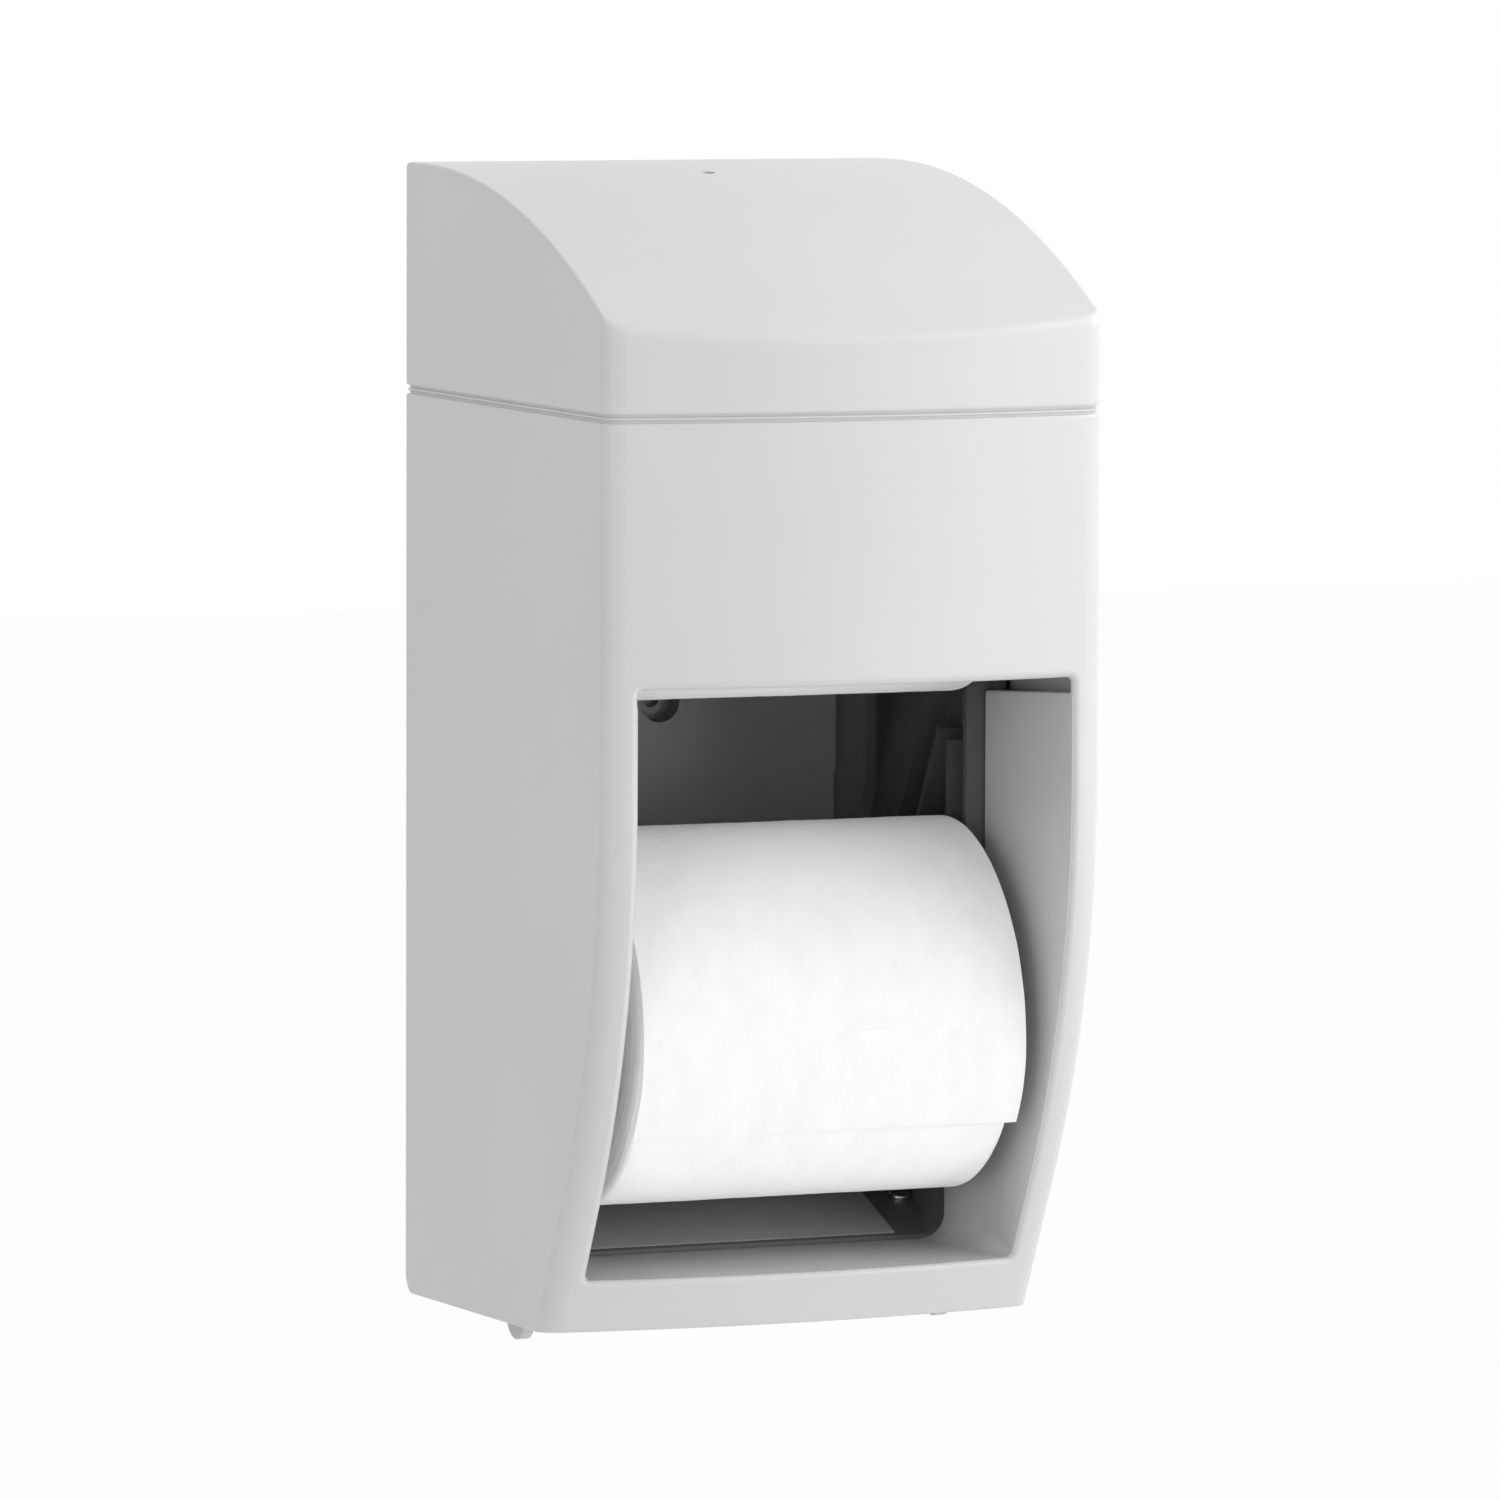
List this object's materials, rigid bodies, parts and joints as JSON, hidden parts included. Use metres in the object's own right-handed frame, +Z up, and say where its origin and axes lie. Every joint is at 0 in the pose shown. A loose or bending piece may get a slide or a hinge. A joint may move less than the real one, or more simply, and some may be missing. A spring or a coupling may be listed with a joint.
{
  "type": "two-roll toilet paper dispenser",
  "caption": "Wall-mounted moulded dispenser: tall cover with domed cap and window, tipping open on bottom hinges over stacked paper rolls on spindles.",
  "frame": {"origin": "on the wall face of the back plate, on the centre line, at half the height of the cover", "axes": "+X to the right seen from the front, +Y into the wall, +Z up; the front faces -Y"},
  "size_m": [0.156, 0.175, 0.3475],
  "materials": {
    "cover_plastic": "satin light grey ABS",
    "inner_plastic": "fine matte mid-grey",
    "lever_plastic": "fine matte dark grey",
    "spindle_plastic": "fine matte grey",
    "tissue": "soft embossed white tissue",
    "cardboard": "raw grey-brown board",
    "label": "bare satin label",
    "screw_steel": "dark zinc",
    "plated_steel": "zinc plated sheet",
    "pin_steel": "drawn steel",
    "spring_steel": "blued spring strip"
  },
  "bodies": {
    "wall_unit": {"back_plate": "inner_plastic", "side_frame_left": "inner_plastic", "side_frame_right": "inner_plastic", "bottom_tray": "inner_plastic", "instruction_label": "label", "frame_screws": "screw_steel", "tray_screws": "screw_steel", "latch_keeper": "plated_steel", "keeper_screws": "screw_steel", "hinge_pins": "pin_steel", "yoke_pins": "pin_steel"},
    "cover": {"cover_shell": "cover_plastic", "cover_cap": "cover_plastic", "latch_bracket": "cover_plastic", "latch_pin": "pin_steel", "latch_spring": "spring_steel"},
    "latch": {"latch_lever": "lever_plastic"},
    "yoke": {"release_arm_left": "lever_plastic", "release_arm_right": "lever_plastic", "release_rod": "pin_steel"},
    "lower_spindle": {"lower_spindle": "spindle_plastic"},
    "lower_roll": {"lower_core": "cardboard", "lower_tissue": "tissue"},
    "upper_spindle": {"upper_spindle": "spindle_plastic"},
    "upper_roll": {"upper_core": "cardboard", "upper_tissue": "tissue"}
  },
  "joints": [
    {"name": "cover_hinge", "type": "hinge", "parent": "wall_unit", "child": "cover", "pos_m": [0, -0.0715, -0.164], "axis": [1, 0, 0], "range_deg": [0, 90]},
    {"name": "latch_press", "type": "hinge", "parent": "cover", "child": "latch", "pos_m": [0, -0.034, 0.1555], "axis": [1, 0, 0], "range_deg": [0, 16], "stiffness_Nm_per_rad": 0.12, "springref_deg": -8.59, "deforming": ["latch_spring"]},
    {"name": "yoke_release", "type": "hinge", "parent": "wall_unit", "child": "yoke", "pos_m": [0, -0.075, 0.0805], "axis": [1, 0, 0], "range_deg": [0, 34]},
    {"name": "lower_spindle_lift", "type": "slide", "parent": "wall_unit", "child": "lower_spindle", "axis": [0, 0, 1], "range_m": [0, 0.036]},
    {"name": "lower_roll_spin", "type": "hinge", "parent": "lower_spindle", "child": "lower_roll", "pos_m": [0, -0.095, -0.0775], "axis": [1, 0, 0], "continuous": true},
    {"name": "upper_spindle_lift", "type": "slide", "parent": "wall_unit", "child": "upper_spindle", "axis": [0, 0, 1], "range_m": [0, 0.018]},
    {"name": "upper_roll_spin", "type": "hinge", "parent": "upper_spindle", "child": "upper_roll", "pos_m": [0, -0.095, 0.0715], "axis": [1, 0, 0], "continuous": true}
  ]
}
